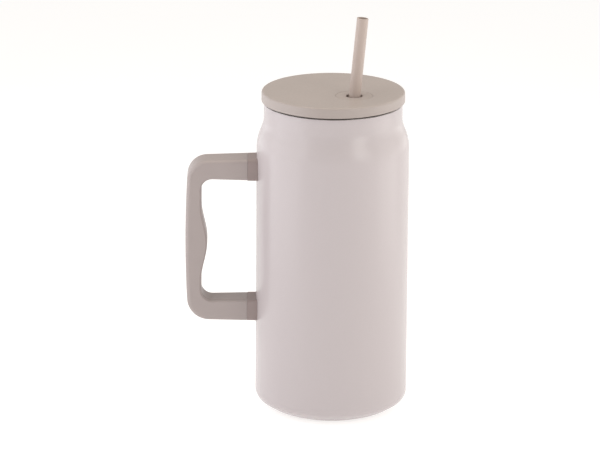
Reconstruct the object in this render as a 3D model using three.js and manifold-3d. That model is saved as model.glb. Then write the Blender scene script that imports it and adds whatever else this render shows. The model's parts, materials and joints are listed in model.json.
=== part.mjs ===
// Insulated straw tumbler: a double-walled vacuum vessel of pressed steel, a moulded side
// handle on two welded brackets, a push-in lid with a silicone seal, and a straw that leans
// in an off-centre hole.
// Millimetres, +Z up. The origin is the centre of the base pad's underside, on the vessel's
// axis. The handle points along -X, and the straw hole is towards +X and -Y.

import * as THREE from "three";
import { mergeVertices } from "three/addons/utils/BufferGeometryUtils.js";
import Module from "manifold-3d";

const wasm = await Module();
wasm.setup();

// ---------------------------------------------------------------- driving dimensions

const ROUND_SIDES = 48; // sides of every large turned piece
const SMALL_SIDES = 24; // sides of every small turned piece
const GAP = 0.3; // between neighbouring pieces

const STEEL = 0.6; // thickness of every pressed steel wall
const BODY_RADIUS = 52.5;
const NECK_RADIUS = 47.6;
const VACUUM_GAP = 3.5; // between the two walls of the body
const FOOT_HEIGHT = 1.0; // steel foot above the table, which the pad fills
const CORNER_RADIUS = 8.8; // of the two bends in the shell's lower corner
const CORNER_TURN = 58; // degrees that the upper bend turns the wall inwards
const CORNER_SLOPE = 6; // length of the straight slope between the bends
const FOOT_OPENING = 33; // radius where the shell meets its welded base
const SHOULDER_HEIGHT = 185; // top of the straight wall
const NECK_HEIGHT = 208; // bottom of the straight neck
const RIM_HEIGHT = 217.4; // top of the liner's bare steel lip
const RIM_DROP = 0.3; // how far the shell's edge stays below the lip's top
const LIP_THICKNESS = 1.05;
const SHOULDER_SHARE = 0.6; // part of the shoulder that curves outwards

const MOUTH_RADIUS = 45; // bore of the liner's neck
const LINER_RADIUS = BODY_RADIUS - STEEL - VACUUM_GAP;
const LINER_FLOOR = 11.6;
const LINER_FILLET = 10;
const LINER_SHOULDER_DROP = 2; // the liner narrows this much below the shell

const LID_RADIUS = 49.25;
const LID_HEIGHT = 226; // top of the lid
const LID_EDGE_HEIGHT = 218.8; // underside of the lid's edge
const LID_EDGE_FILLET = 1.7;
const LID_PLATE = 2.6; // thickness of the top plate
const LID_WALL = 2;
const PLUG_RADIUS = 43.4;
const PLUG_BOTTOM = 205;
const FLANGE_HEIGHT = 219.4; // underside of the lid's inner flange, above the rim

const STRAW_RADIUS = 4;
const STRAW_BORE = 3.2;
const STRAW_LENGTH = 268;
const STRAW_TOP = 279.7;
const STRAW_LEAN_RIGHT = THREE.MathUtils.degToRad(5.27); // towards +X at the top
const STRAW_LEAN_BACK = THREE.MathUtils.degToRad(2.5); // towards +Y at the top
const HOLE_OFFSET = 20; // straw hole's centre from the vessel's axis
const HOLE_ANGLE = THREE.MathUtils.degToRad(-45);
const HOLE_RADIUS = 5.7;
const SEAL_FLANGE_RADIUS = 12.75;
const STRAW_SHIFT = new THREE.Vector2(0.4, 0.95); // straw from the hole's centre at the lid

const HANDLE_WIDTH = 22;
const HANDLE_EDGE = 3; // radius of the handle's long outer edges
const INNER_EDGE = 1.2; // radius of its long edges along the finger opening
const ARM_TOP = 177.8; // the arms' four faces at their outer ends, by the grip
const ARM_BOTTOM = 63.6;
const OPENING_TOP = 164.5;
const OPENING_BOTTOM = 77.65;
const TOP_FLARE = 1.4; // how far each face moves outwards by the vessel
const BOTTOM_FLARE = 0.5;
const OPENING_FLARE = 0.75;
const GRIP_OUTER = -100.1;
const GRIP_INNER = -90.25;
const GRIP_BOW = 1.1; // how far the grip's back bows outwards
const UPPER_CORNER = 14;
const LOWER_CORNER = 15.5;
const INNER_CORNER = 7.6;
const BULGE_HEIGHT = 4.05; // the finger bulge on the grip's inner face
const BULGE_HALF_LENGTH = 27;
const BULGE_CENTRE = 118.6;
const COVER_THICKNESS = 3; // the grip cover, let into the handle's inner side
const COVER_WIDTH = 14.6;
const COVER_EDGE = 1; // radius of the cover's long edges
const COVER_PROUD = 0.3; // how far it stands out of the body
const COLLAR_END = -58.6; // where the arms meet their collars

const BRACKET_STEEL = 2;
const TONGUE_WIDTH = 12;
const TONGUE_END = -79;
const SCREW_X = -72;
const SCREW_RADIUS = 2;

// ---------------------------------------------------------------- derived places

const hole = new THREE.Vector2(
  HOLE_OFFSET * Math.cos(HOLE_ANGLE),
  HOLE_OFFSET * Math.sin(HOLE_ANGLE),
);
const strawDirection = new THREE.Vector3(
  Math.tan(STRAW_LEAN_RIGHT),
  Math.tan(STRAW_LEAN_BACK),
  1,
).normalize();
const strawAtLid = new THREE.Vector3(hole.x + STRAW_SHIFT.x, hole.y + STRAW_SHIFT.y, LID_HEIGHT);
const strawTop = strawAtLid
  .clone()
  .addScaledVector(strawDirection, (STRAW_TOP - LID_HEIGHT) / strawDirection.z);
const strawTurn = new THREE.Quaternion().setFromUnitVectors(
  new THREE.Vector3(0, 0, 1),
  strawDirection,
);

// ---------------------------------------------------------------- shapes and solids

const point = (x, y) => new THREE.Vector2(x, y);

// Points of an arc about (x, y), from one angle to another in degrees, ends included.
function arc(x, y, radius, from, to, steps) {
  return Array.from({ length: steps + 1 }, (_, i) => {
    const angle = THREE.MathUtils.degToRad(from + ((to - from) * i) / steps);
    return point(x + radius * Math.cos(angle), y + radius * Math.sin(angle));
  });
}

// Two tangent arcs that narrow a vertical wall from the lower point to the upper one.
function shoulder(lowRadius, lowHeight, highRadius, highHeight, steps) {
  const rise = highHeight - lowHeight;
  const turn = 2 * Math.atan((lowRadius - highRadius) / rise);
  const total = rise / Math.sin(turn);
  const convex = total * SHOULDER_SHARE;
  const concave = total - convex;
  const degrees = THREE.MathUtils.radToDeg(turn);
  return [
    ...arc(lowRadius - convex, lowHeight, convex, 0, degrees, steps),
    ...arc(highRadius + concave, highHeight, concave, 180 + degrees, 180, steps).slice(1),
  ];
}

// A piece turned about the vertical axis. The profile holds (radius, height) points: up the
// outside and down the inside, closed on itself or on the axis.
function turned(profile, sides = ROUND_SIDES) {
  const onAxis = profile[0].x === 0 && profile.at(-1).x === 0;
  const closed = onAxis ? profile : [...profile, profile[0]];
  return new THREE.LatheGeometry(closed, sides).rotateX(Math.PI / 2);
}

// A flat outline in the XZ plane, given thickness along Y and centred on the XZ plane.
function slab(outline, width, edge = 0) {
  const geometry = new THREE.ExtrudeGeometry(new THREE.Shape(outline), {
    depth: width - 2 * edge,
    bevelEnabled: edge > 0,
    bevelThickness: edge,
    bevelSize: edge,
    bevelOffset: -edge,
    bevelSegments: 3,
  });
  return geometry.translate(0, 0, edge - width / 2).rotateX(Math.PI / 2);
}

function box(lowX, highX, lowY, highY, lowZ, highZ) {
  return new THREE.BoxGeometry(highX - lowX, highY - lowY, highZ - lowZ).translate(
    (lowX + highX) / 2,
    (lowY + highY) / 2,
    (lowZ + highZ) / 2,
  );
}

// An upright cylinder from one height to another.
function post(radius, low, high, sides = SMALL_SIDES) {
  return turned([point(0, low), point(radius, low), point(radius, high), point(0, high)], sides);
}

function solid(geometry) {
  const bare = geometry.clone();
  bare.deleteAttribute("normal");
  bare.deleteAttribute("uv");
  const merged = mergeVertices(bare, 1e-4);
  const corners = merged.index.array;
  const kept = [];
  for (let i = 0; i < corners.length; i += 3) {
    const [a, b, c] = corners.subarray(i, i + 3);
    if (a !== b && b !== c && c !== a) kept.push(a, b, c);
  }
  return new wasm.Manifold(
    new wasm.Mesh({
      numProp: 3,
      vertProperties: new Float32Array(merged.attributes.position.array),
      triVerts: new Uint32Array(kept),
    }),
  );
}

function geometryOf(made) {
  const mesh = made.getMesh();
  const geometry = new THREE.BufferGeometry();
  geometry.setAttribute("position", new THREE.BufferAttribute(mesh.vertProperties, mesh.numProp));
  geometry.setIndex(new THREE.BufferAttribute(mesh.triVerts, 1));
  geometry.computeVertexNormals();
  return geometry;
}

const cut = (body, ...tools) => tools.reduce((left, tool) => left.subtract(solid(tool)), body);
const join = (body, ...pieces) => pieces.reduce((all, piece) => all.add(solid(piece)), body);

// ---------------------------------------------------------------- materials

const finish = (color, roughness, metalness) =>
  new THREE.MeshStandardMaterial({ color, roughness, metalness });
const powderCoat = finish(0xe3d8d3, 0.5, 0);
const taupePlastic = finish(0xb9aaa2, 0.42, 0);
const collarPlastic = finish(0xa3948d, 0.45, 0);
const polishedSteel = finish(0xc9c8c5, 0.25, 1);
const rawSteel = finish(0xb2b0ad, 0.4, 1);
const silicone = finish(0xb6a79e, 0.6, 0);
const padRubber = finish(0x9c8f87, 0.8, 0);
const strawPlastic = finish(0xcabbb1, 0.3, 0);
const glassSolder = finish(0x55585c, 0.35, 0);
const getterMetal = finish(0x6e6c69, 0.8, 1);

// ---------------------------------------------------------------- the vessel's walls

// The shell's lower corner, from the flat foot up to the wall, moved inwards by a depth: a
// bend, a straight slope and a second bend.
function lowerCorner(depth) {
  const turn = THREE.MathUtils.degToRad(CORNER_TURN);
  const radius = CORNER_RADIUS - depth;
  const centre = BODY_RADIUS - CORNER_RADIUS;
  const height = FOOT_HEIGHT + CORNER_RADIUS;
  const across = CORNER_SLOPE * Math.sin(turn);
  const up = CORNER_SLOPE * Math.cos(turn);
  return [
    ...arc(centre - across, height, radius, -90, -CORNER_TURN, 2),
    ...arc(centre, height + up, radius, -CORNER_TURN, 0, 3),
  ];
}

function outerShell() {
  const inner = BODY_RADIUS - STEEL;
  const neckInner = NECK_RADIUS - STEEL;
  const edge = RIM_HEIGHT - RIM_DROP;
  return turned([
    point(FOOT_OPENING, FOOT_HEIGHT),
    ...lowerCorner(0),
    ...shoulder(BODY_RADIUS, SHOULDER_HEIGHT, NECK_RADIUS, NECK_HEIGHT, 3),
    point(NECK_RADIUS, edge),
    point(neckInner, edge),
    ...shoulder(inner, SHOULDER_HEIGHT, neckInner, NECK_HEIGHT, 2).reverse(),
    ...lowerCorner(STEEL).reverse(),
    point(FOOT_OPENING, FOOT_HEIGHT + STEEL),
  ]);
}

// The outer base: a flat foot, a cone up to a recess, and a dimple with the pump-out hole.
const RECESS_HEIGHT = 4;
const DIMPLE_HEIGHT = 5.2;
const PUMP_HOLE = 1.2;

function outerBase() {
  const rim = FOOT_OPENING - GAP;
  const underside = [
    point(PUMP_HOLE, DIMPLE_HEIGHT),
    point(4.4, DIMPLE_HEIGHT),
    point(6.2, RECESS_HEIGHT),
    point(28.9, RECESS_HEIGHT),
    point(31, FOOT_HEIGHT),
    point(rim, FOOT_HEIGHT),
  ];
  const upperside = [
    point(rim, FOOT_HEIGHT + STEEL),
    point(31.4, FOOT_HEIGHT + STEEL),
    point(29.2, RECESS_HEIGHT + STEEL),
    point(6, RECESS_HEIGHT + STEEL),
    point(4.2, DIMPLE_HEIGHT + STEEL),
    point(PUMP_HOLE, DIMPLE_HEIGHT + STEEL),
  ];
  return turned([...underside, ...upperside]);
}

// The solder plug that closes the pump-out hole: a flat bead with a stem through the hole.
function vacuumSeal() {
  const bead = DIMPLE_HEIGHT - GAP;
  const stem = PUMP_HOLE - GAP;
  const profile = [
    point(0, bead - 0.85),
    point(2.4, bead - 0.7),
    point(3.6, bead),
    point(stem, bead),
    point(stem, bead + 1.2),
    point(0, bead + 1.5),
  ];
  return turned(profile, SMALL_SIDES);
}

// The liner's wall: a rounded lower corner, a shoulder under the shell's, a straight mouth and
// a bare lip that reaches out to the shell's edge and closes the space between the walls.
function innerLiner() {
  const inner = LINER_RADIUS - STEEL;
  const centre = inner - LINER_FILLET;
  const corner = LINER_FLOOR + LINER_FILLET;
  const low = SHOULDER_HEIGHT - LINER_SHOULDER_DROP;
  const high = NECK_HEIGHT - LINER_SHOULDER_DROP;
  const neckOuter = MOUTH_RADIUS + STEEL;
  const lipUnderside = RIM_HEIGHT - LIP_THICKNESS;
  const lipRadius = NECK_RADIUS - STEEL - GAP;
  return turned([
    ...arc(centre, corner, LINER_FILLET + STEEL, -90, 0, 3),
    ...shoulder(LINER_RADIUS, low, neckOuter, high, 2),
    point(neckOuter, lipUnderside),
    point(lipRadius, lipUnderside),
    point(lipRadius, RIM_HEIGHT - 0.2),
    point(lipRadius - 0.2, RIM_HEIGHT),
    point(MOUTH_RADIUS + 0.5, RIM_HEIGHT),
    point(MOUTH_RADIUS, RIM_HEIGHT - 0.5),
    ...shoulder(inner, low, MOUTH_RADIUS, high, 2).reverse(),
    ...arc(centre, corner, LINER_FILLET, 0, -90, 3),
  ]);
}

// The liner's welded floor, pressed up a little in the middle.
const FLOOR_DISH = 0.8;
const DISH_RADIUS = 26;

function linerBase() {
  const rim = LINER_RADIUS - STEEL - LINER_FILLET - GAP;
  const low = LINER_FLOOR - STEEL;
  return turned([
    point(0, low + FLOOR_DISH),
    point(DISH_RADIUS, low + FLOOR_DISH),
    point(DISH_RADIUS + 3, low),
    point(rim, low),
    point(rim, LINER_FLOOR),
    point(DISH_RADIUS + 3, LINER_FLOOR),
    point(DISH_RADIUS, LINER_FLOOR + FLOOR_DISH),
    point(0, LINER_FLOOR + FLOOR_DISH),
  ]);
}

// The getter that keeps the vacuum: a pellet in a small cup under the liner's floor.
const GETTER_OFFSET = 14;
const GETTER_RADIUS = 6;
const GETTER_TOP = LINER_FLOOR - STEEL + FLOOR_DISH - GAP;
const GETTER_DEPTH = 3.2;
const GETTER_WALL = 0.4;

function getterCup() {
  const low = GETTER_TOP - GETTER_DEPTH;
  const roof = GETTER_TOP - GETTER_WALL;
  const bore = GETTER_RADIUS - GETTER_WALL;
  const profile = [
    point(0, roof),
    point(bore, roof),
    point(bore, low),
    point(GETTER_RADIUS, low),
    point(GETTER_RADIUS, GETTER_TOP),
    point(0, GETTER_TOP),
  ];
  return turned(profile, SMALL_SIDES).translate(GETTER_OFFSET, 0, 0);
}

function getterPellet() {
  const high = GETTER_TOP - GETTER_WALL - GAP;
  const radius = GETTER_RADIUS - GETTER_WALL - GAP;
  const low = GETTER_TOP - GETTER_DEPTH + 0.3;
  return post(radius, low, high).translate(GETTER_OFFSET, 0, 0);
}

// The non-slip pad under the base, with a ring that locates it in the recess.
const PAD_RADIUS = 37.8;
const PAD_GROOVE = 30;

function basePad() {
  const top = FOOT_HEIGHT - GAP;
  return turned([
    point(0, 0),
    point(PAD_GROOVE - 1, 0),
    point(PAD_GROOVE - 0.6, 0.4),
    point(PAD_GROOVE + 0.6, 0.4),
    point(PAD_GROOVE + 1, 0),
    point(PAD_RADIUS - 0.6, 0),
    point(PAD_RADIUS, 0.35),
    point(PAD_RADIUS, top),
    point(27.6, top),
    point(27.2, RECESS_HEIGHT - 0.4),
    point(24.8, RECESS_HEIGHT - 0.4),
    point(24.4, top),
    point(0, top),
  ]);
}

// ---------------------------------------------------------------- the handle

const OPENING_MIDDLE_TOP = OPENING_TOP - INNER_CORNER;
const OPENING_MIDDLE_BOTTOM = OPENING_BOTTOM + INNER_CORNER;
const OPENING_CENTRE = GRIP_INNER + INNER_CORNER; // where the opening's corners end
const ARM_START = -50; // arms start inside the vessel and are cut back to their collars

// The grip's inner face at a height, with the finger bulge.
function gripFace(height) {
  const reach = Math.min(1, Math.abs(height - BULGE_CENTRE) / BULGE_HALF_LENGTH);
  return GRIP_INNER + (BULGE_HEIGHT / 2) * (1 + Math.cos(Math.PI * reach));
}

// The finger opening's outline, moved into the handle by a depth: from the upper arm, round
// the upper corner, down the grip and along the lower arm.
function openingOutline(depth) {
  const corner = INNER_CORNER + depth;
  const steps = 22;
  const face = Array.from({ length: steps - 1 }, (_, i) => {
    const height = THREE.MathUtils.lerp(
      OPENING_MIDDLE_TOP,
      OPENING_MIDDLE_BOTTOM,
      (i + 1) / steps,
    );
    return point(gripFace(height) - depth, height);
  });
  return [
    point(ARM_START, OPENING_TOP - OPENING_FLARE + depth),
    ...arc(OPENING_CENTRE, OPENING_MIDDLE_TOP, corner, 90, 180, 5),
    ...face,
    ...arc(OPENING_CENTRE, OPENING_MIDDLE_BOTTOM, corner, 180, 270, 5),
    point(ARM_START, OPENING_BOTTOM + OPENING_FLARE - depth),
  ];
}

// The handle's back, moved outwards: from the lower arm, up the bowed grip and along the
// upper arm.
function backOutline(outwards = 0) {
  const arcTop = ARM_TOP - UPPER_CORNER;
  const arcBottom = ARM_BOTTOM + LOWER_CORNER;
  const middle = (arcTop + arcBottom) / 2;
  const half = (arcTop - arcBottom) / 2;
  const upper = UPPER_CORNER + outwards;
  const lower = LOWER_CORNER + outwards;
  const back = GRIP_OUTER - outwards;
  const steps = 8;
  const bow = Array.from({ length: steps - 1 }, (_, i) => {
    const height = THREE.MathUtils.lerp(arcBottom, arcTop, (i + 1) / steps);
    const across = (height - middle) / half;
    return point(back - GRIP_BOW * (1 - across * across), height);
  });
  return [
    point(ARM_START, ARM_BOTTOM - BOTTOM_FLARE - outwards),
    ...arc(GRIP_OUTER + LOWER_CORNER, arcBottom, lower, 270, 180, 6),
    ...bow,
    ...arc(GRIP_OUTER + UPPER_CORNER, arcTop, upper, 180, 90, 6),
    point(ARM_START, ARM_TOP + TOP_FLARE + outwards),
  ];
}

// The handle's whole form, out to the opening at a depth, before it is split into pieces. Its
// outer edges and the edges along the opening have their own radii.
function wholeHandle(depth) {
  const clear = HANDLE_EDGE + 0.5;
  const outer = slab([...openingOutline(depth - clear), ...backOutline()], HANDLE_WIDTH, HANDLE_EDGE);
  const inner = slab([...openingOutline(depth), ...backOutline(clear)], HANDLE_WIDTH, INNER_EDGE);
  return solid(outer).intersect(solid(inner));
}

// The strip along the finger opening, out to a depth.
function innerStrip(depth, width) {
  const proud = -2;
  return slab([...openingOutline(proud), ...openingOutline(depth).reverse()], width);
}

const beyondCollars = box(COLLAR_END, 0, -20, 20, 50, 190);

// The two arms, each with the side of its screw's head: -1 below the tongue, +1 above it.
const arms = {
  upper: { top: ARM_TOP, bottom: OPENING_TOP, headSide: -1 },
  lower: { top: OPENING_BOTTOM, bottom: ARM_BOTTOM, headSide: 1 },
};
for (const arm of Object.values(arms)) {
  arm.middle = (arm.top + arm.bottom) / 2 - arm.headSide * 1.2;
  arm.coverFace = arm.headSide < 0 ? arm.bottom + COVER_THICKNESS : arm.top - COVER_THICKNESS;
}
const FLARE_ROOM = 2; // more than any of the arms' flares

const HEAD_RADIUS = 3.8;
const HEAD_HEIGHT = 2;
const SCREW_REACH = 3.4; // how far the screw goes past the tongue

// Heights of a screw, along its axis from the head's top to the tip.
function screwHeights(arm) {
  const headTop = arm.coverFace - arm.headSide * 0.4;
  const headSeat = headTop - arm.headSide * HEAD_HEIGHT;
  const tip = arm.middle - arm.headSide * (BRACKET_STEEL / 2 + SCREW_REACH);
  return { headTop, headSeat, tip };
}

const ordered = (a, b) => [Math.min(a, b), Math.max(a, b)];

// A pan-head screw with a cross recess, turned so that its head faces the cover.
function handleScrew(arm) {
  const { headTop, headSeat, tip } = screwHeights(arm);
  const head = post(HEAD_RADIUS, ...ordered(headTop, headSeat));
  const shank = post(SCREW_RADIUS, ...ordered(headSeat + arm.headSide * 0.1, tip));
  const recess = ordered(headTop + arm.headSide, headTop - arm.headSide * 1.2);
  const screw = cut(
    join(solid(head), shank),
    box(-2.2, 2.2, -0.45, 0.45, ...recess),
    box(-0.45, 0.45, -2.2, 2.2, ...recess),
  );
  return geometryOf(screw).translate(SCREW_X, 0, 0);
}

// The pocket for a screw's head and the hole for its shank, both a gap wider.
function screwPocket(arm) {
  const { headTop, headSeat, tip } = screwHeights(arm);
  const mouth = headTop + arm.headSide * 3;
  const seat = headSeat - arm.headSide * GAP;
  const end = tip - arm.headSide * 0.5;
  return [
    post(HEAD_RADIUS + GAP, ...ordered(mouth, seat)).translate(SCREW_X, 0, 0),
    post(SCREW_RADIUS + GAP, ...ordered(mouth, end)).translate(SCREW_X, 0, 0),
  ];
}

function tonguePocket(arm) {
  const half = TONGUE_WIDTH / 2 + GAP;
  const thick = BRACKET_STEEL / 2 + GAP;
  return box(TONGUE_END - 0.4, -45, -half, half, arm.middle - thick, arm.middle + thick);
}

// The channel that lightens the grip, behind its cover.
const CHANNEL_DEPTH = 4.4;
const CHANNEL_WIDTH = 12;
const CHANNEL_TOP = 154;
const CHANNEL_BOTTOM = 88;

function channelOutline(shallow, deep, low, high) {
  const steps = 12;
  const heights = Array.from({ length: steps + 1 }, (_, i) =>
    THREE.MathUtils.lerp(low, high, i / steps),
  );
  return [
    ...heights.map((height) => point(gripFace(height) - shallow, height)),
    ...heights.reverse().map((height) => point(gripFace(height) - deep, height)),
  ];
}

function handleBody() {
  const deep = COVER_THICKNESS + CHANNEL_DEPTH;
  const channel = channelOutline(COVER_THICKNESS - 0.5, deep, CHANNEL_BOTTOM, CHANNEL_TOP);
  return geometryOf(
    cut(
      wholeHandle(COVER_PROUD),
      beyondCollars,
      innerStrip(COVER_THICKNESS, COVER_WIDTH + 2 * GAP),
      slab(channel.reverse(), CHANNEL_WIDTH),
      ...Object.values(arms).flatMap((arm) => [tonguePocket(arm), ...screwPocket(arm)]),
    ),
  );
}

// The cover, which stands a little out of the handle's inner side, with two ribs that clip into
// the channel.
function gripCover() {
  const form = slab([...openingOutline(0), ...backOutline()], COVER_WIDTH, COVER_EDGE);
  const strip = solid(form).intersect(solid(innerStrip(COVER_THICKNESS - GAP, COVER_WIDTH)));
  const ribWidth = CHANNEL_WIDTH - 0.6;
  const ribs = [98, 144].map((height) => {
    const rib = channelOutline(COVER_THICKNESS - 1, COVER_THICKNESS + 3, height - 4, height + 4);
    return slab(rib.reverse(), ribWidth);
  });
  return geometryOf(cut(join(strip, ...ribs), beyondCollars));
}

// A bracket: a saddle welded to the shell and a tongue that reaches into the arm.
const SADDLE_STEEL = 1.2;
const SADDLE_WIDTH = 16;
const SADDLE_HEIGHT = 8;

function bracket(arm) {
  const weld = BODY_RADIUS + GAP;
  const low = arm.middle - SADDLE_HEIGHT / 2;
  const high = arm.middle + SADDLE_HEIGHT / 2;
  const ring = cut(
    solid(post(weld + SADDLE_STEEL, low, high, ROUND_SIDES * 2)),
    post(weld, low - 1, high + 1, ROUND_SIDES * 2),
  );
  const window = box(-60, -45, -SADDLE_WIDTH / 2, SADDLE_WIDTH / 2, low, high);
  const half = TONGUE_WIDTH / 2;
  const thick = BRACKET_STEEL / 2;
  const root = -(weld + SADDLE_STEEL / 2);
  const tongue = box(TONGUE_END, root, -half, half, arm.middle - thick, arm.middle + thick);
  const made = join(ring.intersect(solid(window)), tongue);
  const bore = SCREW_RADIUS + GAP;
  return geometryOf(cut(made, post(bore, low, high).translate(SCREW_X, 0, 0)));
}

// A collar that fills the arm's end against the shell and hides the bracket's saddle.
function collar(arm) {
  const shell = BODY_RADIUS + GAP;
  const edge = HANDLE_EDGE;
  const low = arm.bottom - FLARE_ROOM;
  const high = arm.top + FLARE_ROOM;
  const slice = wholeHandle(0).intersect(
    solid(box(COLLAR_END + GAP, -45, -20, 20, low, high)),
  );
  const saddle = BODY_RADIUS + GAP + SADDLE_STEEL;
  const halfHeight = SADDLE_HEIGHT / 2 + GAP;
  const halfWidth = SADDLE_WIDTH / 2 + GAP;
  const room = solid(
    post(saddle + GAP, arm.middle - halfHeight, arm.middle + halfHeight, ROUND_SIDES * 2),
  ).intersect(solid(box(-60, -45, -halfWidth, halfWidth, arm.bottom + edge - 2, arm.top)));
  const hollow = cut(slice, post(shell, arm.bottom - 5, arm.top + 5, ROUND_SIDES * 2));
  return geometryOf(cut(hollow.subtract(room), tonguePocket(arm)));
}

// ---------------------------------------------------------------- the lid

const RECESS_DEPTH = 1.8; // for the straw seal's flange
const SEAL_NECK = 8;

function lidCap() {
  const underside = LID_HEIGHT - LID_PLATE;
  const rimInner = LID_RADIUS - 2.5;
  const fillet = LID_EDGE_FILLET;
  const plate = turned([
    point(0, underside),
    point(rimInner, underside),
    point(rimInner, LID_EDGE_HEIGHT),
    point(LID_RADIUS - 0.4, LID_EDGE_HEIGHT),
    point(LID_RADIUS, LID_EDGE_HEIGHT + 0.4),
    ...arc(LID_RADIUS - fillet, LID_HEIGHT - fillet, fillet, 0, 90, 4),
    point(0, LID_HEIGHT),
  ]);
  const recessFloor = LID_HEIGHT - RECESS_DEPTH;
  const recess = post(SEAL_FLANGE_RADIUS + GAP, recessFloor, LID_HEIGHT + 1, 36);
  const opening = post(SEAL_NECK, underside - 1, LID_HEIGHT, 36);
  return geometryOf(
    cut(solid(plate), recess.translate(hole.x, hole.y, 0), opening.translate(hole.x, hole.y, 0)),
  );
}

// The lid's lower half: a plug that fills the mouth, with a bead that keeps the gasket on, a
// flange welded inside the cap's edge, and a tube that keeps drink out of the air space.
const TUBE_RADIUS = 11.2;
const TUBE_BORE = 9.6;

function lidBase() {
  const floor = PLUG_BOTTOM + LID_WALL;
  const wall = PLUG_RADIUS - LID_WALL;
  const flange = LID_RADIUS - 2.5 - GAP;
  const cup = turned([
    point(0, PLUG_BOTTOM),
    point(PLUG_RADIUS - 1.4, PLUG_BOTTOM),
    point(PLUG_RADIUS + 0.7, PLUG_BOTTOM + 1.6),
    point(PLUG_RADIUS + 0.7, PLUG_BOTTOM + 2.6),
    point(PLUG_RADIUS, PLUG_BOTTOM + 3.4),
    point(PLUG_RADIUS, FLANGE_HEIGHT),
    point(flange, FLANGE_HEIGHT),
    point(flange, FLANGE_HEIGHT + LID_WALL),
    point(wall, FLANGE_HEIGHT + LID_WALL),
    point(wall, floor),
    point(0, floor),
  ]);
  const tubeTop = LID_HEIGHT - LID_PLATE - GAP;
  const tube = post(TUBE_RADIUS, PLUG_BOTTOM + 0.5, tubeTop, 36).translate(hole.x, hole.y, 0);
  const bore = post(TUBE_BORE, PLUG_BOTTOM - 1, LID_HEIGHT, 36).translate(hole.x, hole.y, 0);
  return geometryOf(cut(join(solid(cup), tube), bore));
}

// The silicone gasket: a sleeve round the plug with two fins, and a flange on the rim.
function lidGasket() {
  const inner = PLUG_RADIUS + GAP;
  const sleeve = inner + 0.65;
  const fin = MOUTH_RADIUS - GAP;
  const low = PLUG_BOTTOM + 3.7;
  const seat = RIM_HEIGHT + GAP;
  const top = FLANGE_HEIGHT - GAP;
  const fins = [low + 2, low + 5.4].flatMap((height) => [
    point(sleeve, height - 0.7),
    point(fin, height + 0.1),
    point(fin, height + 0.5),
    point(sleeve, height + 0.6),
  ]);
  return turned([
    point(inner, low),
    point(sleeve, low),
    ...fins,
    point(sleeve, seat),
    point(NECK_RADIUS - 1.4, seat),
    point(NECK_RADIUS - 1.4, top),
    point(inner, top),
  ]);
}

// The straw seal: a flange flush with the lid's top, a neck through the plate, a barbed foot
// under it, and a thin lip that closes round the leaning straw.
function strawSeal() {
  const top = LID_HEIGHT - 0.05;
  const flangeLow = LID_HEIGHT - RECESS_DEPTH + GAP;
  const foot = LID_HEIGHT - LID_PLATE - GAP;
  const low = foot - 1.8;
  const neck = SEAL_NECK - GAP;
  const body = turned(
    [
      point(3, low),
      point(neck, low),
      point(neck + 1.2, foot - 0.5),
      point(neck + 1.2, foot),
      point(neck, foot),
      point(neck, flangeLow),
      point(SEAL_FLANGE_RADIUS, flangeLow),
      point(SEAL_FLANGE_RADIUS, top - 0.2),
      point(SEAL_FLANGE_RADIUS - 0.2, top),
      point(HOLE_RADIUS + 0.3, top),
      point(HOLE_RADIUS, top - 0.3),
      point(HOLE_RADIUS, low + 1.6),
      point(HOLE_RADIUS - 0.4, low + 0.8),
      point(3, low + 0.8),
    ],
    36,
  ).translate(hole.x, hole.y, 0);
  const passage = post(STRAW_RADIUS + GAP, -20, 20)
    .applyQuaternion(strawTurn)
    .translate(strawAtLid.x, strawAtLid.y, strawAtLid.z);
  return geometryOf(cut(solid(body), passage));
}

// ---------------------------------------------------------------- the straw

// A straight tube with lightly rounded ends, made hanging from its top end at the origin.
function straw() {
  const round = 0.2;
  return turned(
    [
      point(STRAW_BORE + round, -STRAW_LENGTH),
      point(STRAW_RADIUS - round, -STRAW_LENGTH),
      point(STRAW_RADIUS, round - STRAW_LENGTH),
      point(STRAW_RADIUS, -round),
      point(STRAW_RADIUS - round, 0),
      point(STRAW_BORE + round, 0),
      point(STRAW_BORE, -round),
      point(STRAW_BORE, round - STRAW_LENGTH),
    ],
    SMALL_SIDES,
  );
}

// ---------------------------------------------------------------- the assembly

function piece(name, geometry, material) {
  const mesh = new THREE.Mesh(geometry, material);
  mesh.name = name;
  return mesh;
}

const vessel = new THREE.Group();
vessel.add(
  piece("outer_shell", outerShell(), powderCoat),
  piece("outer_base", outerBase(), rawSteel),
  piece("vacuum_seal", vacuumSeal(), glassSolder),
  piece("inner_liner", innerLiner(), polishedSteel),
  piece("liner_base", linerBase(), polishedSteel),
  piece("getter_cup", getterCup(), rawSteel),
  piece("getter_pellet", getterPellet(), getterMetal),
  piece("base_pad", basePad(), padRubber),
);

const handle = new THREE.Group();
handle.add(
  piece("handle_body", handleBody(), taupePlastic),
  piece("grip_cover", gripCover(), taupePlastic),
);
for (const [side, arm] of Object.entries(arms)) {
  handle.add(
    piece(side + "_bracket", bracket(arm), rawSteel),
    piece(side + "_collar", collar(arm), collarPlastic),
    piece(side + "_screw", handleScrew(arm), rawSteel),
  );
}

const lid = new THREE.Group();
lid.add(
  piece("lid_cap", lidCap(), taupePlastic),
  piece("lid_base", lidBase(), taupePlastic),
  piece("lid_gasket", lidGasket(), silicone),
  piece("straw_seal", strawSeal(), silicone),
);

const strawTube = piece("straw", straw(), strawPlastic);
strawTube.position.copy(strawTop);
strawTube.quaternion.copy(strawTurn);

const tumbler = new THREE.Group();
tumbler.add(vessel, handle, lid, strawTube);

export default tumbler;
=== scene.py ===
"""An insulated straw tumbler in a plain studio: fine surfaces and materials around the CAD frame."""

import json
import math

import bmesh
import bpy
from mathutils import Matrix, Vector


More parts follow.
